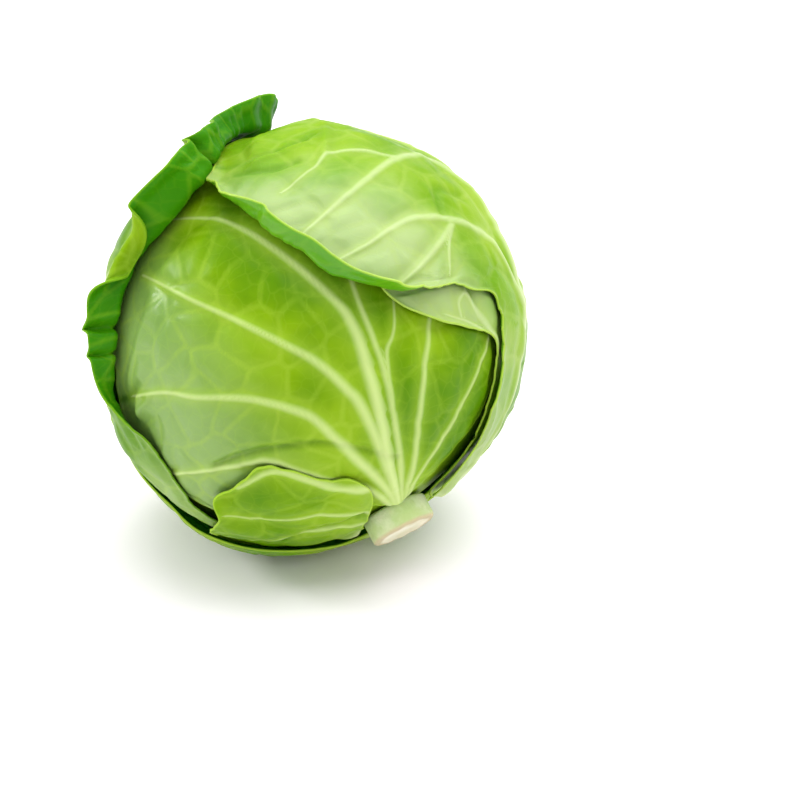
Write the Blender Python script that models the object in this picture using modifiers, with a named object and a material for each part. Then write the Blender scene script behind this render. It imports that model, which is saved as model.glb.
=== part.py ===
"""Cabbage head lying on its side: a packed heart, a cut stem and the wrapper leaves laid over it."""

import math

import bmesh
import bpy
import numpy as np
from mathutils import Matrix, Vector

OBJECT_NAME = "cabbage_head"

# Head, in metres and degrees. It is modelled stem down about its own centre, then laid on its side.
HEART_RADIUS = 0.0793
HEART_SUBDIVISIONS = 4
STEM_END_DIP = 0.005
STEM_END_DIP_REACH = (15.0, 55.0)
REST_TILT = -45.5
REST_TURN = 39.4
CENTRE_HEIGHT = 0.0828
SETTLE_BLEND = 0.0008

# Leaves
LEAF_THICKNESS = 0.0009
LAYER_PITCH = 0.0024
LAYER_MARGIN = 4.0
LAYER_FADE = 13.0
LEAF_CELLS = 20
EDGE_CROWDING = 0.2
CURL_STEPS = 12
SMALLEST_REACH = 1e-6

# Stem
STEM_RADIUS = 0.0135
STEM_SEAT = 0.0745
STEM_END = 0.0850
STEM_SIDES = 32
STEM_BEVEL = 0.0012
STEM_BEVEL_STEPS = 2
HEART_SEAT = 0.0738

LEAF_ROUGHNESS = 0.4
STEM_ROUGHNESS = 0.6
STEM_COLOUR = (0.80, 0.82, 0.62)
HEART_COLOUR = (0.62, 0.74, 0.30)

# The leaves from the innermost to the outermost. "centre" is the leaf's middle: degrees from the stem,
# then degrees round the stem. Each "rim" point is an angle round the leaf (0 away from the stem, 180 at
# the stem), how far the leaf reaches there, how far its edge turns outward, and the turned band's width.
# "roll" is the share of that band that does the turning; the rest of it is straight.
LEAVES = [
    dict(
        name="right_back_leaf", centre=(95, 118), colour=(0.42, 0.60, 0.16),
        rim=[(-160, 62, 0, 8), (-120, 62, 0, 8), (-60, 66, 0, 8), (0, 68, 0, 8), (60, 68, 8, 8),
             (120, 66, 8, 8), (160, 66, 0, 8), (180, 83, 0, 8)],
    ),
    dict(
        name="front_leaf", centre=(82, -25), colour=(0.32, 0.52, 0.10),
        rim=[(-160, 62, 0, 8), (-135, 70, 0, 8), (-108, 78, 4, 8), (-90, 75, 10, 8), (-74, 70, 6, 8),
             (-45, 74, 0, 8), (0, 78, 0, 8), (50, 72, 0, 8), (95, 64, 0, 8), (140, 60, 0, 8),
             (165, 66, 0, 8), (180, 71, 0, 8)],
    ),
    dict(
        name="right_under_leaf", centre=(78, 60), colour=(0.40, 0.62, 0.14),
        rim=[(-165, 54, 0, 5), (-140, 42, 10, 5), (-118, 41, 25, 5), (-108, 57, 30, 5), (-99, 68, 20, 5),
             (-88, 70, 0, 6), (-45, 70, 0, 8), (0, 70, 0, 8), (60, 66, 0, 8), (120, 58, 0, 8),
             (160, 58, 0, 8), (180, 66, 0, 8)],
    ),
    dict(
        name="upper_right_leaf", centre=(92, 45), roll=0.7, colour=(0.50, 0.68, 0.22),
        rim=[(-168, 60, 10, 8), (-145, 31, 8, 6), (-125, 33, 10, 6), (-113, 43, 20, 6), (-106, 59, 80, 8),
             (-98, 70, 115, 9), (-83, 78, 125, 9), (-64, 84, 100, 8), (-50, 84, 40, 5), (-38, 81, 22, 4),
             (-26, 78, 10, 4), (-12, 74, 0, 6), (10, 84, 0, 8), (38, 80, 0, 8), (70, 62, 0, 8),
             (120, 58, 0, 8), (160, 64, 0, 8), (180, 80, 0, 8)],
    ),
    dict(
        name="left_back_leaf", centre=(110, -150), roll=0.4, colour=(0.10, 0.34, 0.02),
        rim=[(-145, 64, 0, 8), (-90, 60, 0, 8), (-45, 60, 8, 8), (-20, 66, 10, 8), (-8, 82, 40, 8),
             (0, 96, 70, 10), (6, 98, 85, 10), (14, 96, 95, 9), (24, 96, 95, 8), (39, 102, 100, 11),
             (54, 98, 112, 14), (64, 84, 118, 13), (79, 74, 120, 10), (88, 68, 115, 8), (97, 62, 85, 6),
             (112, 66, 15, 8), (140, 70, 0, 8), (180, 98, 0, 8)],
    ),
    dict(
        name="lower_front_leaf", centre=(33, -92), colour=(0.34, 0.52, 0.12),
        rim=[(-150, 20, 0, 5), (-90, 25, 0, 5), (-72, 27, 8, 5), (-35, 22, 20, 5), (-8, 20, 30, 4),
             (7, 23, 25, 4), (24, 24, 22, 4), (53, 28, 15, 5), (83, 25, 5, 5), (115, 26, 0, 5),
             (160, 21, 0, 5), (180, 21, 0, 5)],
    ),
    dict(
        name="bottom_leaf", centre=(55, 178), colour=(0.44, 0.60, 0.18),
        rim=[(-150, 46, 0, 8), (-90, 60, 10, 8), (-45, 64, 8, 8), (0, 68, 8, 8), (45, 64, 8, 8),
             (75, 58, 4, 8), (100, 53, 3, 8), (120, 47, 3, 8), (141, 43, 3, 8), (158, 41, 2, 8),
             (180, 43, 0, 8)],
    ),
]


def rotation_to_rest():
    """The head's turn from stem-down to lying on its side."""
    return Matrix.Rotation(math.radians(REST_TURN), 3, "Z") @ Matrix.Rotation(math.radians(REST_TILT), 3, "X")


def direction(from_stem, round_stem):
    """Unit vector of a place on the head, given in degrees from the stem and round it."""
    away, turn = math.radians(from_stem), math.radians(round_stem)
    return np.array([math.sin(away) * math.sin(turn), -math.sin(away) * math.cos(turn), -math.cos(away)])


UP_AT_REST = np.array(rotation_to_rest().transposed() @ Vector((0, 0, 1)))
STEM_POLE = direction(0, 0)


def smooth_step(low, high, value):
    """0 below low, 1 above high, and a smooth rise between them."""
    part = np.clip((value - low) / (high - low), 0, 1)
    return part * part * (3 - 2 * part)


def leaf_frame(leaf):
    """A leaf's middle direction, its sideways direction and the direction away from the stem."""
    from_stem, round_stem = leaf["centre"]
    middle = direction(from_stem, round_stem)
    onward = direction(from_stem + 90, round_stem)
    return middle, np.cross(onward, middle), onward


def around(leaf, angle, column):
    """One column of a leaf's rim table, read as a smooth closed curve at the angles given in degrees."""
    places = np.array([point[0] for point in leaf["rim"]], float)
    values = np.array([point[column] for point in leaf["rim"]], float)
    places = np.concatenate([places - 360, places, places + 360])
    values = np.concatenate([values, values, values])
    slopes = np.gradient(values, places)
    start = np.searchsorted(places, angle, side="right") - 1
    width = places[start + 1] - places[start]
    part = (angle - places[start]) / width
    rest = 1 - part
    ends = values[start] * rest**2 * (1 + 2 * part) + values[start + 1] * part**2 * (1 + 2 * rest)
    bends = slopes[start] * part * rest**2 - slopes[start + 1] * part**2 * rest
    return ends + width * bends


def cover(leaf, directions):
    """How fully a leaf lies over each direction, from 1 under it to 0 clear of it."""
    middle, sideways, onward = leaf_frame(leaf)
    distance = np.degrees(np.arccos(np.clip(directions @ middle, -1, 1)))
    angle = np.degrees(np.arctan2(directions @ sideways, directions @ onward))
    edge = around(leaf, angle, 1) + LAYER_MARGIN
    return 1 - smooth_step(edge, edge + LAYER_FADE, distance)


def layer_radius(layer, directions):
    """Outer radius of a layer: the heart is layer 0 and the leaves follow it."""
    from_stem = np.degrees(np.arccos(np.clip(directions @ STEM_POLE, -1, 1)))
    radius = HEART_RADIUS - STEM_END_DIP * (1 - smooth_step(*STEM_END_DIP_REACH, from_stem))
    for leaf in LEAVES[:layer]:
        radius = radius + LAYER_PITCH * cover(leaf, directions)
    return radius


def settle(points, layer, directions):
    """Press a layer's points up to where the table and the layers below it allow."""
    floor = np.zeros(len(points))
    for leaf in LEAVES[layer:]:
        floor = floor + LAYER_PITCH * cover(leaf, directions)
    clearance = CENTRE_HEIGHT + points @ UP_AT_REST - floor
    blend = (np.clip(clearance, -SETTLE_BLEND, SETTLE_BLEND) + SETTLE_BLEND) ** 2 / (4 * SETTLE_BLEND)
    height = np.where(clearance > SETTLE_BLEND, clearance, blend)
    return points + (height - clearance)[:, None] * UP_AT_REST


def leaf_points(layer, across, along):
    """Surface points of a leaf for grid coordinates from -1 to 1 in each direction."""
    leaf = LEAVES[layer - 1]
    middle, sideways, onward = leaf_frame(leaf)
    disc_x = across * np.sqrt(1 - along**2 / 2)
    disc_y = along * np.sqrt(1 - across**2 / 2)
    part = np.hypot(disc_x, disc_y)
    part = part * (1 + EDGE_CROWDING * (1 - part**2))
    angle = np.degrees(np.arctan2(disc_x, disc_y))
    reach = np.radians(around(leaf, angle, 1))
    turn = np.radians(around(leaf, angle, 2))
    band = np.radians(around(leaf, angle, 3))
    distance = np.maximum(part * reach, SMALLEST_REACH)
    heading = np.sin(np.radians(angle))[:, None] * sideways + np.cos(np.radians(angle))[:, None] * onward

    def place(spread):
        return np.cos(spread)[:, None] * middle + np.sin(spread)[:, None] * heading

    base_spread = np.minimum(distance, reach - band)
    base = place(base_spread)
    base_radius = layer_radius(layer - 1, base) + LAYER_PITCH
    tangent = np.cos(base_spread)[:, None] * heading - np.sin(base_spread)[:, None] * middle
    length = (distance - base_spread) * base_radius
    points = base * base_radius[:, None]
    for step in range(CURL_STEPS):
        covered = (step + 0.5) / CURL_STEPS
        bend = turn * smooth_step(0, leaf.get("roll", 1), covered * (distance - base_spread) / band)
        slope = bend - covered * (distance - base_spread)
        points = points + (np.cos(slope) * length / CURL_STEPS)[:, None] * tangent
        points = points + (np.sin(slope) * length / CURL_STEPS)[:, None] * base
    here = place(distance)
    rise = layer_radius(layer - 1, here) + LAYER_PITCH - base_radius
    points = points + rise[:, None] * here
    return settle(points, layer, here)


def new_material(name, colour, roughness):
    material = bpy.data.materials.new(name)
    material.use_nodes = True
    shader = material.node_tree.nodes["Principled BSDF"]
    shader.inputs["Base Color"].default_value = (*colour, 1)
    shader.inputs["Roughness"].default_value = roughness
    shader.inputs["Metallic"].default_value = 0
    material.diffuse_color = (*colour, 1)
    return material


def new_object(name, mesh_data, collection, parent, colour, roughness=LEAF_ROUGHNESS):
    """Turn a bmesh into a named object in the collection, under the parent, with its own material."""
    mesh = bpy.data.meshes.new(name)
    mesh_data.to_mesh(mesh)
    mesh_data.free()
    mesh.materials.append(new_material(name, colour, roughness))
    item = bpy.data.objects.new(name, mesh)
    collection.objects.link(item)
    item.parent = parent
    return item


def add_leaf(layer, collection, parent):
    """A grid laid over the head as one leaf and given its thickness inward."""
    leaf = LEAVES[layer - 1]
    sheet = bmesh.new()
    bmesh.ops.create_grid(sheet, x_segments=LEAF_CELLS, y_segments=LEAF_CELLS, size=1)
    flat = np.array([vertex.co for vertex in sheet.verts])
    for vertex, point in zip(sheet.verts, leaf_points(layer, flat[:, 0], flat[:, 1])):
        vertex.co = point
    item = new_object(leaf["name"], sheet, collection, parent, leaf["colour"])
    solidify = item.modifiers.new("thickness", "SOLIDIFY")
    solidify.thickness = LEAF_THICKNESS
    solidify.offset = -1


def add_heart(collection, parent):
    """The packed heart: a ball pressed flat where the head rests and where the stem meets it."""
    ball = bmesh.new()
    bmesh.ops.create_icosphere(ball, subdivisions=HEART_SUBDIVISIONS, radius=1)
    directions = np.array([vertex.co.normalized() for vertex in ball.verts])
    points = settle(directions * layer_radius(0, directions)[:, None], 0, directions)
    points[:, 2] = np.maximum(points[:, 2], -HEART_SEAT)
    for vertex, point in zip(ball.verts, points):
        vertex.co = point
    new_object("packed_heart", ball, collection, parent, HEART_COLOUR)


def add_stem(collection, parent):
    """The stump left where the head was cut from its root."""
    stump = bmesh.new()
    length = STEM_END - STEM_SEAT
    bmesh.ops.create_cone(
        stump, cap_ends=True, segments=STEM_SIDES, radius1=STEM_RADIUS, radius2=STEM_RADIUS, depth=length
    )
    item = new_object("cut_stem", stump, collection, parent, STEM_COLOUR, roughness=STEM_ROUGHNESS)
    item.location = (0, 0, -(STEM_SEAT + STEM_END) / 2)
    bevel = item.modifiers.new("worn_edge", "BEVEL")
    bevel.width = STEM_BEVEL
    bevel.segments = STEM_BEVEL_STEPS


def clear_scene():
    for item in list(bpy.data.objects):
        bpy.data.objects.remove(item, do_unlink=True)


def build():
    clear_scene()
    collection = bpy.data.collections.new(OBJECT_NAME)
    bpy.context.scene.collection.children.link(collection)
    head = bpy.data.objects.new("head_centre", None)
    collection.objects.link(head)
    head.matrix_world = Matrix.Translation((0, 0, CENTRE_HEIGHT)) @ rotation_to_rest().to_4x4()
    add_heart(collection, head)
    add_stem(collection, head)
    for layer in range(1, len(LEAVES) + 1):
        add_leaf(layer, collection, head)


build()
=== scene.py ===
import math

import bpy
import numpy as np
from mathutils import Matrix, Vector


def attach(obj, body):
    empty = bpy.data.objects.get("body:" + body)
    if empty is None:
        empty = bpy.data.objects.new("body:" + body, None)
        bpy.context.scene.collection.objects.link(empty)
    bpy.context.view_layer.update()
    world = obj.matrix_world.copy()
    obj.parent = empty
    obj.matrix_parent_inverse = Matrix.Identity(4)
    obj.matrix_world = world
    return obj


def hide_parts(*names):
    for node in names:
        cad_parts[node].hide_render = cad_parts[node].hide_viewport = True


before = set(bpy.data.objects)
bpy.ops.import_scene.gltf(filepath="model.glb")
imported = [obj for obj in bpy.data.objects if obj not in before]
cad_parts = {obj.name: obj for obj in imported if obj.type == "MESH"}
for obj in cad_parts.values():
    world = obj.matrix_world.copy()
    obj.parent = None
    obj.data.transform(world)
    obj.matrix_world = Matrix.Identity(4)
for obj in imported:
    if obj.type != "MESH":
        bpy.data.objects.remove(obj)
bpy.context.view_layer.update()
bpy.ops.object.select_all(action="DESELECT")
print("frame loaded:", len(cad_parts), "nodes")

# the head as a whole, in metres and degrees: modelled stem down about its centre, then laid on its side
head = dict(
    heartRadius=0.0793, stemEndDip=0.005, dipReach=(15.0, 55.0),
    restTilt=-45.5, restTurn=39.4, centreHeight=0.0828, settleBlend=0.0008,
    layerPitch=0.0024, layerMargin=4.0, layerFade=13.0, leafThickness=0.0008,
    edgeCrowding=0.2, curlSteps=24, degree=0.00143,
)

# leaves from the innermost to the outermost, all angles in degrees
# centre: from the stem, and round it; dusty: which way the wax thickens (across, away), where it starts
# rim: angle round the leaf (0 away from the stem), reach, outward turn of the edge, width of the turned band
# ribs and folds: a line (across, away from the stem), then width and height at both ends in mm
# nicks: angle, depth, spread; flap: a stretch of the edge folded back in; roll: how soon the edge turns
leaves = [
    dict(
        name="right_back_leaf", slot="wrapper_leaf", centre=(95, 118),
        cells=150, seed=3, wave=0.7, dusty=(0, 1, 20),
        rim=[(-160, 62, 0, 8), (-120, 62, 0, 8), (-60, 66, 0, 8), (0, 68, 0, 8), (60, 68, 8, 8),
             (120, 66, 8, 8), (160, 66, 0, 8), (180, 83, 0, 8)],
        ribs=[([(0, -84), (0, -40), (1, 0), (0, 60)], (7, 1.5), (2.6, 0.6)),
              ([(0, -60), (-14, -30), (-34, -6), (-56, 12)], (3.5, 1), (1.6, 0.4)),
              ([(0, -60), (14, -30), (34, -6), (56, 12)], (3.5, 1), (1.6, 0.4)),
              ([(0, -30), (-12, 0), (-26, 20), (-40, 40)], (3, 1), (1.3, 0.4)),
              ([(0, -26), (12, 4), (26, 24), (40, 42)], (3, 1), (1.3, 0.4))],
        folds=[],
    ),
    dict(
        name="front_leaf", slot="wrapper_leaf", centre=(82, -25),
        cells=215, seed=11, wave=0.8, dusty=(-0.95, -0.05, 12),
        rim=[(-160, 62, 0, 8), (-135, 70, 0, 8), (-108, 78, 4, 8), (-90, 75, 10, 8), (-74, 70, 6, 8),
             (-45, 74, 0, 8), (0, 78, 0, 8), (50, 72, 0, 8), (95, 64, 0, 8), (140, 60, 0, 8),
             (165, 66, 0, 8), (180, 71, 0, 8)],
        ribs=[([(0, -71), (-1, -50), (0, -37), (2, -19), (3, -8), (1, 2), (-9, 26), (-17, 38), (-30, 50)],
               (5.5, 0.9), (2.4, 0.3)),
              ([(1, -71), (2, -60), (4, -36), (6, -20), (7, -4), (9, 10), (14, 40)], (3.2, 0.9), (1.7, 0.3)),
              ([(0, -71), (-1, -60), (-3, -29), (-5, -21), (-9, -12), (-14, -5), (-23, 7), (-32, 19),
                (-43, 36)], (4.2, 1.0), (2.1, 0.6)),
              ([(-1, -71), (-3, -60), (-10, -39), (-13, -31), (-16, -24), (-22, -18), (-30, -12),
                (-42, -6), (-52, 0), (-66, 5)], (4.2, 1.1), (2.1, 0.7)),
              ([(-2, -71), (-8, -58), (-21, -42), (-31, -31), (-39, -29), (-61, -25), (-76, -24)],
               (3.8, 1.0), (2.0, 0.6)),
              ([(2, -71), (6, -56), (12, -36), (17, -25), (22, -17), (33, 2), (45, 28)],
               (3.0, 0.9), (1.5, 0.3)),
              ([(4, -34), (8, -18), (13, -12), (22, 8)], (1.8, 0.7), (0.8, 0.2)),
              ([(3, -71), (10, -58), (30, -38), (52, -18)], (3.0, 1.0), (1.4, 0.3))],
        folds=[([(2, -47), (-8, -38), (-16, -32), (-28, -28), (-39, -26), (-47, -26)],
                (1.6, 1.1), (-1.2, -1.5)),
               ([(-63, 3), (-70, -10), (-75, -23), (-80, -40)], (2.0, 2.6), (0.8, 1.2)),
               ([(-60, 7), (-66, 5), (-73, 7)], (2.0, 2.4), (-0.6, -2.2)),
               ([(-58, 1), (-64, -1), (-71, -6)], (1.6, 2.2), (0.9, 1.6))],
    ),
    dict(
        name="right_under_leaf", slot="pale_leaf", centre=(78, 60),
        cells=170, seed=19, wave=0.8, dusty=(-1, 0, 10),
        rim=[(-165, 54, 0, 5), (-140, 42, 10, 5), (-118, 41, 25, 5), (-108, 57, 30, 5), (-99, 68, 20, 5),
             (-88, 70, 0, 6), (-45, 70, 0, 8), (0, 70, 0, 8), (60, 66, 0, 8), (120, 58, 0, 8),
             (160, 58, 0, 8), (180, 66, 0, 8)],
        ribs=[([(0, -66), (-8, -40), (-30, -22), (-42, -12), (-45, -4), (-46, 10)], (4, 0.9), (1.8, 0.5)),
              ([(-30, -22), (-42, -18), (-52, -16)], (1.6, 0.8), (0.8, 0.4)),
              ([(-44, -8), (-47, -12), (-46, -17)], (1.2, 0.8), (0.8, 0.4))],
        folds=[([(-34, -19), (-40, -14), (-44, -4)], (2.0, 2.0), (-1.0, -1.0))],
    ),
    dict(
        name="upper_right_leaf", slot="pale_leaf", centre=(92, 45), roll=0.7,
        cells=215, seed=23, wave=0.9, dusty=(-0.9, -0.5, 12),
        rim=[(-168, 60, 10, 8), (-145, 31, 8, 6), (-125, 33, 10, 6), (-113, 43, 20, 6), (-106, 59, 80, 8),
             (-98, 70, 115, 9), (-83, 78, 125, 9), (-64, 84, 100, 8), (-50, 84, 40, 5), (-38, 81, 22, 4),
             (-26, 78, 10, 4), (-12, 74, 0, 6), (10, 84, 0, 8), (38, 80, 0, 8), (70, 62, 0, 8),
             (120, 58, 0, 8), (160, 64, 0, 8), (180, 80, 0, 8)],
        ribs=[([(0, -80), (0, -45), (-1, -10), (-1, 20), (-6, 50), (-12, 72)], (6, 1.2), (2.4, 0.5)),
              ([(-1, -22), (-10, -7), (-20, -2), (-29, 1), (-40, 3), (-48, 2), (-56, 0), (-68, -1)],
               (3.4, 0.9), (1.9, 0.4)),
              ([(-28, -1), (-40, -8), (-48, -12), (-55, -15)], (2.2, 0.8), (1.3, 0.4)),
              ([(-28, -1), (-33, -7), (-36, -14)], (1.8, 0.8), (1.0, 0.3)),
              ([(-1, 12), (-8, 23), (-26, 23), (-42, 19), (-53, 16), (-65, 13), (-74, 10)],
               (3.2, 0.9), (1.8, 0.4)),
              ([(-26, 23), (-34, 29), (-42, 33), (-49, 31), (-61, 30)], (2.2, 0.9), (1.4, 0.4)),
              ([(1, -22), (18, -4), (36, 8), (50, 14)], (3.2, 0.9), (1.6, 0.4)),
              ([(0, 12), (14, 30), (26, 48)], (3.0, 0.9), (1.5, 0.4))],
        folds=[([(-57, 58), (-53, 51), (-41, 45), (-34, 44)], (2.2, 1.6), (-1.4, -1.0)),
               ([(-60, 50), (-56, 41), (-49, 37)], (1.8, 1.6), (-1.2, -0.8)),
               ([(-54, 47), (-48, 45), (-38, 41)], (2.2, 1.6), (1.2, 0.9)),
               ([(-42, 35), (-30, 43), (-18, 53)], (2.4, 2.4), (1.4, 1.2)),
               ([(-29, 3), (-24, 10), (-14, 8)], (2.0, 2.6), (-1.2, -1.0))],
    ),
    dict(
        name="left_back_leaf", slot="dark_leaf", centre=(110, -150), roll=0.4,
        cells=215, seed=31, wave=0.8, dusty=(0.5, -0.8, 30),
        rim=[(-145, 64, 0, 8), (-90, 60, 0, 8), (-45, 60, 8, 8), (-20, 66, 10, 8), (-8, 82, 40, 8),
             (0, 96, 70, 10), (6, 98, 85, 10), (14, 96, 95, 9), (24, 96, 95, 8), (39, 102, 100, 11),
             (54, 98, 112, 14), (64, 84, 118, 13), (79, 74, 120, 10), (88, 68, 115, 8), (97, 62, 85, 6),
             (112, 66, 15, 8), (140, 70, 0, 8), (180, 98, 0, 8)],
        nicks=[(40, 3.5, 1.2), (80, 3.0, 1.3), (87, 2.0, 1.2)],
        flap=dict(angle=66, spread=6, turn=165, hinge=(0.5, 0.72)),
        ribs=[([(0, -98), (0, -50), (2, 0), (8, 60), (12, 88)], (7, 1.4), (2.6, 0.6)),
              ([(0, -60), (18, -36), (40, -14), (66, 4)], (3.6, 1), (1.6, 0.5)),
              ([(1, -25), (18, 0), (38, 22), (66, 42)], (3.4, 1), (1.5, 0.5)),
              ([(2, 0), (14, 25), (30, 48), (56, 74)], (3.2, 1), (1.4, 0.5)),
              ([(5, 30), (14, 52), (26, 72), (36, 90)], (2.6, 1), (1.2, 0.4)),
              ([(0, -60), (-18, -34), (-44, -14)], (3.6, 1), (1.6, 0.5)),
              ([(1, -20), (-16, 4), (-36, 24)], (3.2, 1), (1.4, 0.5)),
              ([(3, 15), (-8, 34), (-20, 52)], (2.8, 1), (1.2, 0.4))],
        folds=[],
    ),
    dict(
        name="lower_front_leaf", slot="wrapper_leaf", centre=(33, -92),
        cells=170, seed=41, wave=0.5, dusty=(0, -1, 5),
        rim=[(-150, 20, 0, 5), (-90, 25, 0, 5), (-72, 27, 8, 5), (-35, 22, 20, 5), (-8, 20, 30, 4),
             (7, 23, 25, 4), (24, 24, 22, 4), (53, 28, 15, 5), (83, 25, 5, 5), (115, 26, 0, 5),
             (160, 21, 0, 5), (180, 21, 0, 5)],
        nicks=[(-82, 3.5, 5.0), (-50, 1.5, 4.0)],
        ribs=[([(22, -20), (23, -2), (23, 14), (12, 20)], (3.6, 1.6), (1.6, 1.0)),
              ([(9, -26), (11, -6), (6, 4), (-1, 18)], (2.6, 0.8), (1.0, 0.4)),
              ([(4, -24), (1, -10), (-6, 0), (-18, 8)], (2.4, 0.8), (1.0, 0.4))],
        folds=[([(12, -22), (2, -9), (-4, -3), (-10, -2)], (2.4, 1.6), (-1.4, -1.0))],
    ),
    dict(
        name="bottom_leaf", slot="pale_leaf", centre=(55, 178),
        cells=170, seed=47, wave=0.6, dusty=(0.5, 0.3, 10),
        rim=[(-150, 46, 0, 8), (-90, 60, 10, 8), (-45, 64, 8, 8), (0, 68, 8, 8), (45, 64, 8, 8),
             (75, 58, 4, 8), (100, 53, 3, 8), (120, 47, 3, 8), (141, 43, 3, 8), (158, 41, 2, 8),
             (180, 43, 0, 8)],
        ribs=[([(0, -43), (0, -10), (0, 20), (0, 62)], (7, 1.4), (2.4, 0.6)),
              ([(0, -30), (18, -8), (36, 8), (52, 20)], (3.4, 1), (1.5, 0.4)),
              ([(0, -30), (-18, -8), (-36, 8), (-52, 20)], (3.4, 1), (1.5, 0.4)),
              ([(0, 0), (14, 22), (30, 42)], (3, 1), (1.3, 0.4)),
              ([(0, 0), (-14, 22), (-30, 42)], (3, 1), (1.3, 0.4))],
        folds=[],
    ),
]


def restRotation():
    tilt = Matrix.Rotation(math.radians(head["restTilt"]), 3, "X")
    return Matrix.Rotation(math.radians(head["restTurn"]), 3, "Z") @ tilt


def direction(fromStem, roundStem):
    away, turn = math.radians(fromStem), math.radians(roundStem)
    return np.array([math.sin(away) * math.sin(turn), -math.sin(away) * math.cos(turn), -math.cos(away)])


restTurnMatrix = np.array(restRotation())
upAtRest = restTurnMatrix.T @ np.array([0.0, 0.0, 1.0])


def smoothStep(low, high, value):
    part = np.clip((value - low) / (high - low), 0, 1)
    return part * part * (3 - 2 * part)


def leafFrame(leaf):
    fromStem, roundStem = leaf["centre"]
    middle = direction(fromStem, roundStem)
    onward = direction(fromStem + 90, roundStem)
    return middle, np.cross(onward, middle), onward


# one column of a rim table as a smooth closed curve
def around(leaf, angle, column):
    places = np.array([point[0] for point in leaf["rim"]], float)
    values = np.array([point[column] for point in leaf["rim"]], float)
    places = np.concatenate([places - 360, places, places + 360])
    values = np.concatenate([values, values, values])
    slopes = np.gradient(values, places)
    start = np.searchsorted(places, angle, side="right") - 1
    width = places[start + 1] - places[start]
    part = (angle - places[start]) / width
    rest = 1 - part
    ends = values[start] * rest**2 * (1 + 2 * part) + values[start + 1] * part**2 * (1 + 2 * rest)
    bends = slopes[start] * part * rest**2 - slopes[start + 1] * part**2 * rest
    return ends + width * bends


# 1 under a leaf and 0 clear of it, fading over a margin beyond its rim
def cover(leaf, directions, margin, fade):
    middle, sideways, onward = leafFrame(leaf)
    distance = np.degrees(np.arccos(np.clip(directions @ middle, -1, 1)))
    angle = np.degrees(np.arctan2(directions @ sideways, directions @ onward))
    edge = around(leaf, angle, 1) + margin
    return 1 - smoothStep(edge, edge + fade, distance)


def layerRadius(layer, directions):
    fromStem = np.degrees(np.arccos(np.clip(-directions[:, 2], -1, 1)))
    radius = head["heartRadius"] - head["stemEndDip"] * (1 - smoothStep(*head["dipReach"], fromStem))
    for leaf in leaves[:layer]:
        radius = radius + head["layerPitch"] * cover(leaf, directions, head["layerMargin"], head["layerFade"])
    return radius


# the table and the layers below press a layer up
def settle(points, layer, directions):
    floor = np.zeros(len(points))
    for leaf in leaves[layer:]:
        floor = floor + head["layerPitch"] * cover(leaf, directions, head["layerMargin"], head["layerFade"])
    clearance = head["centreHeight"] + points @ upAtRest - floor
    blend = head["settleBlend"]
    soft = (np.clip(clearance, -blend, blend) + blend) ** 2 / (4 * blend)
    height = np.where(clearance > blend, clearance, soft)
    return points + (height - clearance)[:, None] * upAtRest


def toWorld(points):
    return points @ restTurnMatrix.T + np.array([0, 0, head["centreHeight"]])


latticeSide = 64
latticeShift = 20.5


# smooth value noise over the leaf, from -1 to 1
def softNoise(x, y, size, seed):
    lattice = np.random.default_rng(seed).uniform(-1, 1, (latticeSide, latticeSide))
    u, v = x / size + latticeShift, y / size + latticeShift
    i, j = np.floor(u).astype(int), np.floor(v).astype(int)
    fu, fv = u - i, v - j
    fu, fv = fu * fu * (3 - 2 * fu), fv * fv * (3 - 2 * fv)
    i, j = i % (latticeSide - 1), j % (latticeSide - 1)
    low = lattice[i, j] * (1 - fu) + lattice[i + 1, j] * fu
    high = lattice[i, j + 1] * (1 - fu) + lattice[i + 1, j + 1] * fu
    return low * (1 - fv) + high * fv


# a smooth line through a few points, evenly split
def smoothLine(points, perSpan=8):
    points = np.array(points, float)
    padded = np.vstack([2 * points[0] - points[1], points, 2 * points[-1] - points[-2]])
    line = []
    for k in range(1, len(padded) - 2):
        before, start, end, after = padded[k - 1], padded[k], padded[k + 1], padded[k + 2]
        for step in range(perSpan):
            t = step / perSpan
            bend = (2 * before - 5 * start + 4 * end - after) * t**2
            twist = (3 * start - before - 3 * end + after) * t**3
            line.append(0.5 * (2 * start + (end - before) * t + bend + twist))
    line.append(points[-1])
    return np.array(line)


panelShape = dict(scatter=0.38, warp=3.0, warpSize=11)


# raised panels between fine veins: distance in mm to the nearest edge of a panel
def panelEdges(x, y, size, seed):
    scatter = panelShape["scatter"]
    shift = np.random.default_rng(seed).uniform(-scatter, scatter, (latticeSide, latticeSide, 2))
    u = (x + panelShape["warp"] * softNoise(x, y, panelShape["warpSize"], seed)) / size + latticeShift
    v = (y + panelShape["warp"] * softNoise(x, y, panelShape["warpSize"], seed + 1)) / size + latticeShift
    places = np.stack([u, v], axis=1)
    cell = np.floor(places).astype(int)
    sites, gaps = [], []
    for stepX in (-1, 0, 1):
        for stepY in (-1, 0, 1):
            corner = cell + (stepX, stepY)
            site = corner + 0.5 + shift[corner[:, 0] % (latticeSide - 1), corner[:, 1] % (latticeSide - 1)]
            sites.append(site)
            gaps.append(np.linalg.norm(places - site, axis=1))
    sites, gaps = np.stack(sites), np.stack(gaps)
    order = np.argsort(gaps, axis=0)
    rows = np.arange(len(x))
    first, second = order[0], order[1]
    apart = np.linalg.norm(sites[first, rows] - sites[second, rows], axis=1)
    edge = (gaps[second, rows] ** 2 - gaps[first, rows] ** 2) / (2 * apart)
    return edge * size * head["degree"] * 1000


# in mm, or in widths of a rib: how far off a rib can be, how far it spreads, its narrowest ridge, its halo
ribReach = dict(none=30.0, least=9.0, widths=4, ridge=1.5, haloWidths=1.2, haloMargin=1.5)


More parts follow.
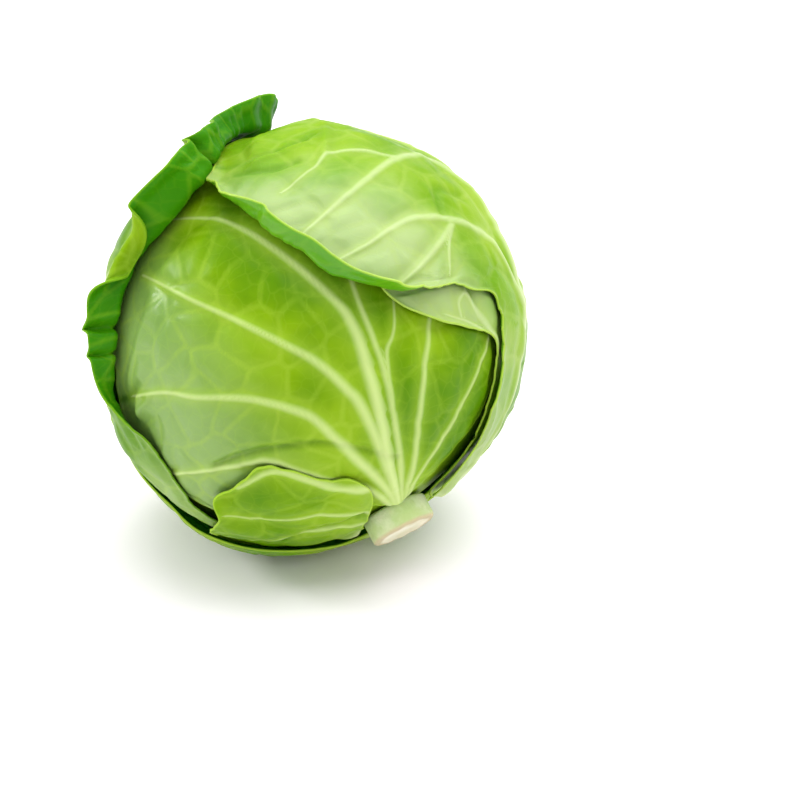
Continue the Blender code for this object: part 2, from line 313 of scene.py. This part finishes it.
# relief of the ribs in mm, their halo, and the nearest rib: distance, signed distance and width in mm
def ribField(ribs, x, y):
    scale = head["degree"] * 1000
    x, y = x * scale, y * scale
    height, halo = np.zeros(len(x)), np.zeros(len(x))
    near, side = np.full(len(x), ribReach["none"]), np.full(len(x), ribReach["none"])
    width = np.ones(len(x))
    for points, widths, heights in ribs:
        line = smoothLine(points) * scale
        count = len(line) - 1
        for k in range(count):
            w = widths[0] + (widths[1] - widths[0]) * (k + 0.5) / count
            h = heights[0] + (heights[1] - heights[0]) * (k + 0.5) / count
            start, end = line[k], line[k + 1]
            reach = max(ribReach["widths"] * w, ribReach["least"])
            close = np.nonzero((x > min(start[0], end[0]) - reach) & (x < max(start[0], end[0]) + reach)
                               & (y > min(start[1], end[1]) - reach) & (y < max(start[1], end[1]) + reach))[0]
            if len(close) == 0:
                continue
            run = end - start
            px, py = x[close] - start[0], y[close] - start[1]
            t = np.clip((px * run[0] + py * run[1]) / max(run @ run, 1e-9), 0, 1)
            d = np.hypot(px - t * run[0], py - t * run[1])
            height[close] = np.maximum(height[close], h * np.exp(-(d / max(w, ribReach["ridge"])) ** 2))
            haloWidth = ribReach["haloWidths"] * w + ribReach["haloMargin"]
            halo[close] = np.maximum(halo[close], np.exp(-(d / haloWidth) ** 2))
            closer = d < near[close]
            found = close[closer]
            near[found] = d[closer]
            side[found] = d[closer] * np.sign(run[0] * py[closer] - run[1] * px[closer])
            width[found] = w
    return height, halo, near, side, width


# folds add or cut soft lines
def foldField(folds, x, y):
    total = np.zeros(len(x))
    for points, widths, heights in folds:
        sign = 1 if heights[0] > 0 else -1
        total = total + sign * ribField([(points, widths, tuple(abs(h) for h in heights))], x, y)[0]
    return total


# relief of the skin: heights in mm, noise sizes and rim waves in degrees
relief = dict(
    puff=0.8, puffWidth=4.5, panel=0.5, panelWidth=3.0, panelSize=11.0, panelRim=6.0,
    waveSize=16, rippleSize=6, rippleShare=0.35, pressed=0.85, pressedMargin=-3, pressedFade=4,
    sink=0.4, sinkRim=3.0,
)
rimShape = dict(wave=1.1, waveSize=7, tooth=0.35, toothSize=2.2, turnRipple=0.3, turnRippleSize=12)
waxReach = 38.0
thinRib = dict(width=2.2, widen=0.8)


def leafSurface(layer, across, along):
    leaf = leaves[layer - 1]
    middle, sideways, onward = leafFrame(leaf)
    discX = across * np.sqrt(1 - along**2 / 2)
    discY = along * np.sqrt(1 - across**2 / 2)
    part = np.hypot(discX, discY)
    part = part * (1 + head["edgeCrowding"] * (1 - part**2))
    angle = np.degrees(np.arctan2(discX, discY))
    reach = around(leaf, angle, 1)
    ring = reach * np.radians(angle)
    reach = reach + rimShape["wave"] * softNoise(ring, 0 * ring, rimShape["waveSize"], leaf["seed"])
    for nickAngle, depth, nickSpread in leaf.get("nicks", []):
        reach = reach - depth * np.exp(-((angle - nickAngle) / nickSpread) ** 2)
    tooth = softNoise(ring, 0 * ring, rimShape["toothSize"], leaf["seed"] + 1)
    reach = np.radians(reach + rimShape["tooth"] * tooth)
    ripple = softNoise(ring, 0 * ring, rimShape["turnRippleSize"], leaf["seed"] + 2)
    turn = np.radians(around(leaf, angle, 2) * (1 + rimShape["turnRipple"] * ripple))
    band = np.radians(around(leaf, angle, 3))
    distance = np.maximum(part * reach, 1e-6)
    heading = np.sin(np.radians(angle))[:, None] * sideways + np.cos(np.radians(angle))[:, None] * onward

    def place(spread):
        return np.cos(spread)[:, None] * middle + np.sin(spread)[:, None] * heading

    baseSpread = np.minimum(distance, reach - band)
    base = place(baseSpread)
    baseRadius = layerRadius(layer - 1, base) + head["layerPitch"]
    tangent = np.cos(baseSpread)[:, None] * heading - np.sin(baseSpread)[:, None] * middle
    length = (distance - baseSpread) * baseRadius
    points = base * baseRadius[:, None]
    steps = head["curlSteps"]
    for step in range(steps):
        covered = (step + 0.5) / steps
        bend = turn * smoothStep(0, leaf.get("roll", 1), covered * (distance - baseSpread) / band)
        if "flap" in leaf:
            flap = leaf["flap"]
            folded = np.exp(-((angle - flap["angle"]) / flap["spread"]) ** 4) * math.radians(flap["turn"])
            bend = bend - folded * smoothStep(*flap["hinge"], covered * (distance - baseSpread) / band)
        slope = bend - covered * (distance - baseSpread)
        points = points + (np.cos(slope) * length / steps)[:, None] * tangent
        points = points + (np.sin(slope) * length / steps)[:, None] * base
    here = place(distance)
    points = points + (layerRadius(layer - 1, here) + head["layerPitch"] - baseRadius)[:, None] * here
    chartX = np.degrees(distance) * np.sin(np.radians(angle))
    chartY = np.degrees(distance) * np.cos(np.radians(angle))
    toRim = (reach - distance) * baseRadius * 1000
    return points, here, chartX, chartY, toRim


def gridNormals(points, here, side):
    sheet = points.reshape(side, side, 3)
    normals = np.cross(np.gradient(sheet, axis=1), np.gradient(sheet, axis=0)).reshape(-1, 3)
    normals = normals / np.maximum(np.linalg.norm(normals, axis=1), 1e-12)[:, None] + 0.02 * here
    return normals / np.linalg.norm(normals, axis=1)[:, None]


def setAttribute(mesh, name, values):
    layer = mesh.attributes.new(name, "FLOAT", "POINT")
    layer.data.foreach_set("value", np.asarray(values, np.float32))


def makeLeaf(layer):
    leaf = leaves[layer - 1]
    cells = leaf["cells"]
    side = cells + 1
    bpy.ops.object.select_all(action="DESELECT")
    bpy.ops.mesh.primitive_grid_add(x_subdivisions=cells, y_subdivisions=cells, size=2, calc_uvs=False)
    piece = bpy.context.active_object
    piece.name = leaf["name"] + "_skin"
    mesh = piece.data
    flat = np.empty(len(mesh.vertices) * 3)
    mesh.vertices.foreach_get("co", flat)
    flat = flat.reshape(-1, 3)
    order = np.lexsort((flat[:, 0].round(5), flat[:, 1].round(5)))
    across, along = flat[order, 0], flat[order, 1]
    points, here, x, y, toRim = leafSurface(layer, across, along)
    normals = gridNormals(points, here, side)
    height, halo, ribNear, ribSide, ribWidth = ribField(leaf["ribs"], x, y)
    fold = foldField(leaf["folds"], x, y)
    panel = panelEdges(x, y, relief["panelSize"], leaf["seed"] + 9)
    puff = relief["puff"] * (1 - np.exp(-(ribNear / relief["puffWidth"]) ** 2))
    puff = puff + relief["panel"] * (1 - np.exp(-(panel / relief["panelWidth"]) ** 2))
    height = height + fold + puff * smoothStep(0, relief["panelRim"], toRim)
    height = height + leaf["wave"] * softNoise(x, y, relief["waveSize"], leaf["seed"] + 5)
    ripple = softNoise(x, y, relief["rippleSize"], leaf["seed"] + 6)
    height = height + relief["rippleShare"] * leaf["wave"] * ripple
    for outer in leaves[layer:]:
        covered = cover(outer, here, relief["pressedMargin"], relief["pressedFade"])
        height = height * (1 - relief["pressed"] * covered)
    height = (height - relief["sink"]) * smoothStep(0, relief["sinkRim"], toRim)
    points = settle(points + height[:, None] / 1000 * normals, layer, here)
    placed = np.empty_like(flat)
    placed[order] = toWorld(points)
    mesh.vertices.foreach_set("co", placed.ravel())
    across, along, fade = leaf["dusty"]
    dusty = smoothStep(0, 1, (across * x + along * y - fade) / waxReach)
    ribNear = ribNear - thinRib["widen"] * smoothStep(0, 1, thinRib["width"] - ribWidth)
    kept = dict(ribNear=ribNear, ribSide=ribSide, ribWidth=ribWidth, halo=halo, fold=fold, panel=panel,
                dusty=dusty, toRim=toRim, chartX=x, chartY=y)
    for name, values in kept.items():
        ordered = np.empty(len(values))
        ordered[order] = values
        setAttribute(mesh, name, ordered)
    outerCount = len(mesh.vertices)
    solid = piece.modifiers.new("thickness", "SOLIDIFY")
    solid.thickness = head["leafThickness"]
    solid.offset = -1
    bpy.ops.object.modifier_apply(modifier="thickness")
    mesh = piece.data
    inside = np.zeros(len(mesh.vertices))
    inside[outerCount:] = 1
    setAttribute(mesh, "inside", inside)
    bpy.ops.object.shade_smooth()
    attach(piece, "root")
    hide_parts(leaf["name"])
    print("leaf made:", leaf["name"], len(mesh.polygons), "faces")
    return piece


def newGroup(name, inputs, outputs):
    group = bpy.data.node_groups.new(name, "ShaderNodeTree")
    for label, kind, value in inputs:
        socket = group.interface.new_socket(label, in_out="INPUT", socket_type=kind)
        if value is not None:
            socket.default_value = value
    for label, kind in outputs:
        group.interface.new_socket(label, in_out="OUTPUT", socket_type=kind)
    return group, group.nodes.new("NodeGroupInput"), group.nodes.new("NodeGroupOutput")


def addNode(tree, kind, settings=None, **values):
    node = tree.nodes.new(kind)
    for key, value in (settings or {}).items():
        setattr(node, key, value)
    for key, value in values.items():
        socket = node.inputs[key]
        if hasattr(value, "is_output"):
            tree.links.new(value, socket)
        else:
            socket.default_value = value
    return node


def mixColour(tree, factor, first, second):
    node = tree.nodes.new("ShaderNodeMix")
    node.data_type = "RGBA"
    for socket, value in ((node.inputs[0], factor), (node.inputs[6], first), (node.inputs[7], second)):
        if hasattr(value, "is_output"):
            tree.links.new(value, socket)
        else:
            socket.default_value = value
    return node.outputs[2]


def sums(tree, operation, first, second, clamp=False):
    node = tree.nodes.new("ShaderNodeMath")
    node.operation = operation
    node.use_clamp = clamp
    for socket, value in zip(node.inputs, (first, second)):
        if hasattr(value, "is_output"):
            tree.links.new(value, socket)
        else:
            socket.default_value = value
    return node.outputs[0]


def ramp(tree, value, low, high):
    node = addNode(tree, "ShaderNodeMapRange", dict(interpolation_type="SMOOTHSTEP"))
    tree.links.new(value, node.inputs["Value"])
    node.inputs["From Min"].default_value = low
    node.inputs["From Max"].default_value = high
    return node.outputs["Result"]


# fine net of veins over the leaf, as a mask
def makeVeinNet():
    group, start, end = newGroup(
        "veinNet",
        [("Place", "NodeSocketVector", None), ("Cell", "NodeSocketFloat", 0.1),
         ("Line", "NodeSocketFloat", 0.05)],
        [("Mask", "NodeSocketFloat")])
    bend = addNode(group, "ShaderNodeTexNoise", Vector=start.outputs["Place"], Scale=0.11, Detail=2.0)
    shift = addNode(group, "ShaderNodeVectorMath", dict(operation="MULTIPLY_ADD"))
    group.links.new(bend.outputs["Color"], shift.inputs[0])
    shift.inputs[1].default_value = (7, 7, 0)
    group.links.new(start.outputs["Place"], shift.inputs[2])
    cell = addNode(group, "ShaderNodeTexVoronoi", dict(feature="DISTANCE_TO_EDGE", voronoi_dimensions="2D"),
                   Vector=shift.outputs[0], Scale=start.outputs["Cell"])
    thin = sums(group, "DIVIDE", cell.outputs["Distance"], start.outputs["Line"], clamp=True)
    group.links.new(sums(group, "SUBTRACT", 1.0, thin), end.inputs["Mask"])
    return group


# cloudy wax on the skin, as a mask
def makeWax():
    group, start, end = newGroup(
        "waxBloom", [("Place", "NodeSocketVector", None), ("Size", "NodeSocketFloat", 30.0)],
        [("Mask", "NodeSocketFloat"), ("Speckle", "NodeSocketFloat")])
    cloud = addNode(group, "ShaderNodeTexNoise", Vector=start.outputs["Place"], Scale=start.outputs["Size"],
                    Detail=4.0, Roughness=0.55)
    fine = addNode(group, "ShaderNodeTexNoise", Vector=start.outputs["Place"], Scale=900.0, Detail=2.0)
    group.links.new(ramp(group, cloud.outputs["Fac"], 0.35, 0.68), end.inputs["Mask"])
    group.links.new(fine.outputs["Fac"], end.inputs["Speckle"])
    return group


# how strongly each mask works on every leaf, the painted crease shade and the painted highlight on wide ribs
# among them; vein and edge widths are in mm
skin = dict(
    veinEdge=(0.1, 1.7), netCell=0.26, netLine=0.09, veinLeast=0.15, veinPatches=0.4, netFine=0.15,
    bloomPatches=0.35, bloomRange=(0.25, 1.2), paintedCreaseShadeStrength=-0.4, halo=0.45, ribLeast=0.35, paintedRibHighlightPerWidth=0.1,
    innerNet=0.7, innerRib=0.3, edgeWidth=(0.1, 0.9), edge=0.7, bloomRoughness=0.14, patchRoughness=0.07,
    grainNet=0.6, grainRib=0.6, grainSpeckle=0.12, bump=0.35, bumpDepth=0.0006,
    glowRadius=(0.6, 1.0, 0.15), glowScale=0.004, coatRoughness=0.25,
)


def leafMaterial(name, look):
    material = bpy.data.materials.new(name)
    material.use_nodes = True
    tree = material.node_tree
    shader = tree.nodes["Principled BSDF"]
    ribNear, ribSide, ribWidth, halo, fold, panel, dusty, toRim, inside = (
        addNode(tree, "ShaderNodeAttribute", dict(attribute_name=label)).outputs["Fac"]
        for label in ("ribNear", "ribSide", "ribWidth", "halo", "fold", "panel", "dusty", "toRim", "inside"))
    gap = sums(tree, "MAXIMUM", sums(tree, "ABSOLUTE", ribSide, 0.0), ribNear)
    rib = sums(tree, "SUBTRACT", 1.0, ramp(tree, sums(tree, "DIVIDE", gap, ribWidth), 0.0, 1.0))
    vein = sums(tree, "SUBTRACT", 1.0, ramp(tree, panel, *skin["veinEdge"]))
    chartX = addNode(tree, "ShaderNodeAttribute", dict(attribute_name="chartX")).outputs["Fac"]
    chartY = addNode(tree, "ShaderNodeAttribute", dict(attribute_name="chartY")).outputs["Fac"]
    chart = addNode(tree, "ShaderNodeCombineXYZ", X=chartX, Y=chartY).outputs["Vector"]
    coords = addNode(tree, "ShaderNodeTexCoord").outputs["Object"]
    fine = addNode(tree, "ShaderNodeGroup", dict(node_tree=veinNet), Place=chart,
                   Cell=skin["netCell"], Line=skin["netLine"])
    wax = addNode(tree, "ShaderNodeGroup", dict(node_tree=waxBloom), Place=coords, Size=look["cloudSize"])
    face = mixColour(tree, wax.outputs["Mask"], look["deep"], look["light"])
    bloom = sums(tree, "ADD", dusty, sums(tree, "MULTIPLY", wax.outputs["Mask"], skin["bloomPatches"]))
    bloom = ramp(tree, bloom, *skin["bloomRange"])
    face = mixColour(tree, sums(tree, "MULTIPLY", bloom, look["bloom"]), face, look["wax"])
    # creases, where the fold heights are negative, are painted darker towards the crease colour: painted
    # shade in the fold valleys
    face = mixColour(tree, sums(tree, "MULTIPLY", fold, skin["paintedCreaseShadeStrength"], True), face, look["paintedCreaseShade"])
    patchy = sums(tree, "MULTIPLY", wax.outputs["Mask"], skin["veinPatches"])
    patchy = sums(tree, "ADD", skin["veinLeast"], patchy)
    vein = sums(tree, "MULTIPLY", vein, patchy)
    net = sums(tree, "ADD", vein, sums(tree, "MULTIPLY", fine.outputs["Mask"], skin["netFine"]))
    face = mixColour(tree, sums(tree, "MULTIPLY", net, look["net"]), face, look["ribSoft"])
    face = mixColour(tree, sums(tree, "MULTIPLY", halo, skin["halo"]), face, look["ribSoft"])
    # pale rib colour, mixed in more strongly the wider the rib; the pale colour is the rib's own, and the
    # extra whitening on wide ribs is a painted highlight along the rib crests
    ribPaleAndHighlight = sums(tree, "ADD", skin["ribLeast"], sums(tree, "MULTIPLY", ribWidth, skin["paintedRibHighlightPerWidth"]))
    face = mixColour(tree, sums(tree, "MULTIPLY", rib, ribPaleAndHighlight, True), face, look["rib"])
    inner = mixColour(tree, wax.outputs["Mask"], look["innerDeep"], look["innerLight"])
    inner = mixColour(tree, sums(tree, "MULTIPLY", net, skin["innerNet"]), inner, look["innerRib"])
    inner = mixColour(tree, sums(tree, "MULTIPLY", rib, skin["innerRib"]), inner, look["innerRib"])
    colour = mixColour(tree, inside, face, inner)
    edge = sums(tree, "SUBTRACT", 1.0, ramp(tree, toRim, *skin["edgeWidth"]))
    colour = mixColour(tree, sums(tree, "MULTIPLY", edge, skin["edge"]), colour, look["edge"])
    tree.links.new(colour, shader.inputs["Base Color"])
    rough = sums(tree, "ADD", look["roughness"], sums(tree, "MULTIPLY", bloom, skin["bloomRoughness"]))
    patches = sums(tree, "MULTIPLY", wax.outputs["Mask"], skin["patchRoughness"])
    rough = sums(tree, "ADD", rough, patches)
    tree.links.new(rough, shader.inputs["Roughness"])
    speckle = sums(tree, "MULTIPLY", wax.outputs["Speckle"], skin["grainSpeckle"])
    grain = sums(tree, "ADD", sums(tree, "MULTIPLY", net, skin["grainNet"]), speckle)
    grain = sums(tree, "ADD", grain, sums(tree, "MULTIPLY", rib, skin["grainRib"]))
    bump = addNode(tree, "ShaderNodeBump", Height=grain, Strength=skin["bump"], Distance=skin["bumpDepth"])
    tree.links.new(bump.outputs["Normal"], shader.inputs["Normal"])
    shader.inputs["Subsurface Weight"].default_value = look["glow"]
    shader.inputs["Subsurface Radius"].default_value = skin["glowRadius"]
    shader.inputs["Subsurface Scale"].default_value = skin["glowScale"]
    shader.inputs["Specular IOR Level"].default_value = look["shine"]
    gloss = sums(tree, "MULTIPLY", bloom, look["coat"])
    tree.links.new(gloss, shader.inputs["Coat Weight"])
    shader.inputs["Coat Roughness"].default_value = skin["coatRoughness"]
    return material


veinNet = makeVeinNet()
waxBloom = makeWax()

# leaf colours; the darkest crease colour is painted shade for the fold valleys, and the rib colour also
# carries a painted highlight on wide ribs
greenLook = dict(
    deep=(0.072, 0.20, 0.0003, 1), light=(0.21, 0.37, 0.001, 1), wax=(0.20, 0.33, 0.085, 1),
    paintedCreaseShade=(0.04, 0.14, 0.001, 1), ribSoft=(0.30, 0.47, 0.035, 1), rib=(0.55, 0.68, 0.27, 1),
    edge=(0.34, 0.53, 0.04, 1),
    innerDeep=(0.022, 0.14, 0.0005, 1), innerLight=(0.06, 0.22, 0.001, 1), innerRib=(0.16, 0.34, 0.01, 1),
    bloom=0.85, net=0.7, cloudSize=19.0, roughness=0.36, glow=0.15, coat=0.5, shine=0.07,
)
paleLook = dict(
    greenLook, deep=(0.11, 0.27, 0.0005, 1), light=(0.23, 0.38, 0.012, 1), wax=(0.36, 0.46, 0.20, 1),
    paintedCreaseShade=(0.07, 0.22, 0.001, 1), ribSoft=(0.33, 0.47, 0.08, 1), rib=(0.50, 0.61, 0.30, 1),
    edge=(0.36, 0.52, 0.05, 1), innerDeep=(0.06, 0.24, 0.0005, 1), innerLight=(0.12, 0.33, 0.002, 1),
    bloom=0.7, net=0.6, roughness=0.32, glow=0.2,
)
darkLook = dict(greenLook, bloom=0.6, edge=(0.16, 0.34, 0.01, 1), innerDeep=(0.018, 0.15, 0.0005, 1),
                innerLight=(0.042, 0.21, 0.0005, 1))
finishes = dict(
    wrapper_leaf=leafMaterial("greenLeaf", greenLook),
    pale_leaf=leafMaterial("paleLeaf", paleLook),
    dark_leaf=leafMaterial("darkLeaf", darkLook),
)
print("leaf materials made")

for layer in range(1, len(leaves) + 1):
    piece = makeLeaf(layer)
    piece.data.materials.clear()
    piece.data.materials.append(finishes[leaves[layer - 1]["slot"]])

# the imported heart, seen only in slits between the leaves
heart = dict(subdivisions=6, seat=0.0738)


def makeHeart():
    bpy.ops.object.select_all(action="DESELECT")
    bpy.ops.mesh.primitive_ico_sphere_add(subdivisions=heart["subdivisions"], radius=1, calc_uvs=False)
    piece = bpy.context.active_object
    piece.name = "packed_heart_skin"
    mesh = piece.data
    places = np.empty(len(mesh.vertices) * 3)
    mesh.vertices.foreach_get("co", places)
    directions = places.reshape(-1, 3)
    directions = directions / np.linalg.norm(directions, axis=1)[:, None]
    points = settle(directions * layerRadius(0, directions)[:, None], 0, directions)
    points[:, 2] = np.maximum(points[:, 2], -heart["seat"])
    mesh.vertices.foreach_set("co", toWorld(points).ravel())
    for name in ("halo", "fold", "dusty", "inside"):
        setAttribute(mesh, name, np.zeros(len(points)))
    for name in ("ribNear", "ribSide", "ribWidth", "panel", "toRim"):
        setAttribute(mesh, name, np.full(len(points), 20.0))
    setAttribute(mesh, "chartX", np.degrees(directions[:, 0]))
    setAttribute(mesh, "chartY", np.degrees(directions[:, 1]))
    mesh.materials.append(leafMaterial("heartLeaf", dict(paleLook, bloom=0.0)))
    bpy.ops.object.shade_smooth()
    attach(piece, "root")
    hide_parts("packed_heart")


makeHeart()

# the cut stump, pulled out of round, with its cut end dished and scored by the knife
stem = dict(
    radius=0.0135, seat=0.0745, end=0.0850, sides=96, rings=5, ring=0.0022,
    bevel=0.0016, bevelSteps=3, smoothAngle=50, dish=0.0008, cutDepth=0.002,
    score=0.00025, scorePitch=900, scoreBend=300,
)


def makeStem():
    bpy.ops.object.select_all(action="DESELECT")
    length = stem["end"] - stem["seat"]
    middle = (stem["end"] + stem["seat"]) / 2
    bpy.ops.mesh.primitive_cylinder_add(vertices=stem["sides"], radius=stem["radius"], depth=length,
                                        location=(0, 0, -middle), calc_uvs=False)
    piece = bpy.context.active_object
    piece.name = "cut_stem_skin"
    bpy.ops.object.transform_apply(location=True, rotation=True, scale=True)
    bpy.ops.object.mode_set(mode="EDIT")
    bpy.ops.mesh.select_all(action="DESELECT")
    bpy.ops.object.mode_set(mode="OBJECT")
    for face in piece.data.polygons:
        face.select = face.normal.z < -0.9
    bpy.ops.object.mode_set(mode="EDIT")
    bpy.ops.mesh.select_mode(type="FACE")
    for inset in range(stem["rings"]):
        bpy.ops.mesh.inset(thickness=stem["ring"], depth=0)
    bpy.ops.object.mode_set(mode="OBJECT")
    bevel = piece.modifiers.new("wornEdge", "BEVEL")
    bevel.width = stem["bevel"]
    bevel.segments = stem["bevelSteps"]
    bevel.limit_method = "ANGLE"
    bpy.ops.object.modifier_apply(modifier="wornEdge")
    finer = piece.modifiers.new("finer", "SUBSURF")
    finer.subdivision_type = "SIMPLE"
    finer.levels = finer.render_levels = 1
    bpy.ops.object.modifier_apply(modifier="finer")
    mesh = piece.data
    places = np.empty(len(mesh.vertices) * 3)
    mesh.vertices.foreach_get("co", places)
    places = places.reshape(-1, 3)
    turn = np.arctan2(places[:, 1], places[:, 0])
    radius = np.hypot(places[:, 0], places[:, 1])
    wobble = 1 - 0.03 * (1 + np.sin(5 * turn + 1)) / 2 - 0.02 * (1 + np.sin(9 * turn)) / 2
    places[:, :2] *= wobble[:, None]
    cut = smoothStep(stem["end"] - stem["cutDepth"], stem["end"], -places[:, 2])
    dished = stem["dish"] * smoothStep(0.2, 1.0, 1 - radius / stem["radius"])
    score = np.sin(places[:, 0] * stem["scorePitch"] + 2 * np.sin(places[:, 1] * stem["scoreBend"]))
    places[:, 2] += cut * (dished + stem["score"] * (1 + score) / 2)
    mesh.vertices.foreach_set("co", toWorld(places).ravel())
    setAttribute(mesh, "cut", cut)
    setAttribute(mesh, "spread", radius / stem["radius"])
    mesh.materials.append(stemMaterial())
    bpy.ops.object.shade_smooth_by_angle(angle=math.radians(stem["smoothAngle"]))
    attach(piece, "root")
    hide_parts("cut_stem")


stemLook = dict(
    skinDeep=(0.46, 0.60, 0.22, 1), skinLight=(0.68, 0.76, 0.46, 1),
    pithDeep=(0.66, 0.62, 0.42, 1), pithLight=(0.80, 0.78, 0.62, 1),
    rind=(0.50, 0.42, 0.24, 1), rindEdge=(0.70, 0.86), cloudSize=90.0, roughness=0.6,
    bump=0.4, bumpDepth=0.0005, glow=0.1, glowScale=0.003,
)


def stemMaterial():
    material = bpy.data.materials.new("cutStump")
    material.use_nodes = True
    tree = material.node_tree
    shader = tree.nodes["Principled BSDF"]
    cut = addNode(tree, "ShaderNodeAttribute", dict(attribute_name="cut")).outputs["Fac"]
    spread = addNode(tree, "ShaderNodeAttribute", dict(attribute_name="spread")).outputs["Fac"]
    coords = addNode(tree, "ShaderNodeTexCoord").outputs["Object"]
    wax = addNode(tree, "ShaderNodeGroup", dict(node_tree=waxBloom), Place=coords, Size=stemLook["cloudSize"])
    bark = mixColour(tree, wax.outputs["Mask"], stemLook["skinDeep"], stemLook["skinLight"])
    pith = mixColour(tree, wax.outputs["Mask"], stemLook["pithDeep"], stemLook["pithLight"])
    cutFace = mixColour(tree, ramp(tree, spread, *stemLook["rindEdge"]), pith, stemLook["rind"])
    tree.links.new(mixColour(tree, cut, bark, cutFace), shader.inputs["Base Color"])
    shader.inputs["Roughness"].default_value = stemLook["roughness"]
    bump = addNode(tree, "ShaderNodeBump", Height=wax.outputs["Speckle"],
                   Strength=stemLook["bump"], Distance=stemLook["bumpDepth"])
    tree.links.new(bump.outputs["Normal"], shader.inputs["Normal"])
    shader.inputs["Subsurface Weight"].default_value = stemLook["glow"]
    shader.inputs["Subsurface Scale"].default_value = stemLook["glowScale"]
    return material


makeStem()
print("heart and stem made")

# studio
studio = dict(
    floor=6.0, floorColour=(0.94, 0.90, 0.95, 1), world=0.72,
    key=dict(place=(0.6, 0.35, 2.25), size=3.2, power=96.0),
    left=dict(place=(-1.5, 0.1, 0.95), size=0.5, power=13.0),
    front=dict(place=(0.25, -1.6, 1.1), size=0.8, power=4.0),
)


def makeFloor():
    bpy.ops.object.select_all(action="DESELECT")
    bpy.ops.mesh.primitive_plane_add(size=studio["floor"])
    floor = bpy.context.active_object
    floor.name = "studioFloor"
    material = bpy.data.materials.new("paleFloor")
    material.use_nodes = True
    shader = material.node_tree.nodes["Principled BSDF"]
    shader.inputs["Base Color"].default_value = studio["floorColour"]
    shader.inputs["Roughness"].default_value = 0.9
    shader.inputs["Specular IOR Level"].default_value = 0.1
    floor.data.materials.append(material)


def makeLight(name, place, size, power):
    light = bpy.data.lights.new(name, "AREA")
    light.size = size
    light.energy = power
    lamp = bpy.data.objects.new(name, light)
    bpy.context.scene.collection.objects.link(lamp)
    lamp.location = place
    aim = Vector((0, 0, head["centreHeight"])) - lamp.location
    lamp.rotation_euler = aim.to_track_quat("-Z", "Y").to_euler()


view = dict(elevation=25, distance=0.752, aside=0.0366, below=0.0227, lens=85)


def makeCamera():
    camera = bpy.data.cameras.new("studioCamera")
    camera.lens = view["lens"]
    camera.sensor_width = 36
    holder = bpy.data.objects.new("studioCamera", camera)
    bpy.context.scene.collection.objects.link(holder)
    tilt = math.radians(view["elevation"])
    back = Vector((0, -math.cos(tilt), math.sin(tilt)))
    up = Vector((0, math.sin(tilt), math.cos(tilt)))
    centre = Vector((0, 0, head["centreHeight"]))
    holder.location = centre + back * view["distance"] + Vector((view["aside"], 0, 0)) - up * view["below"]
    holder.rotation_euler = (math.pi / 2 - tilt, 0, 0)
    bpy.context.scene.camera = holder


def makeWorld():
    world = bpy.data.worlds.new("studioWorld")
    bpy.context.scene.world = world
    world.use_nodes = True
    background = world.node_tree.nodes["Background"]
    background.inputs["Color"].default_value = (1, 1, 1, 1)
    background.inputs["Strength"].default_value = studio["world"]
    bpy.context.scene.view_settings.view_transform = "Standard"


makeFloor()
for name in ("key", "left", "front"):
    makeLight(name, **studio[name])
makeCamera()
makeWorld()
print("studio made")
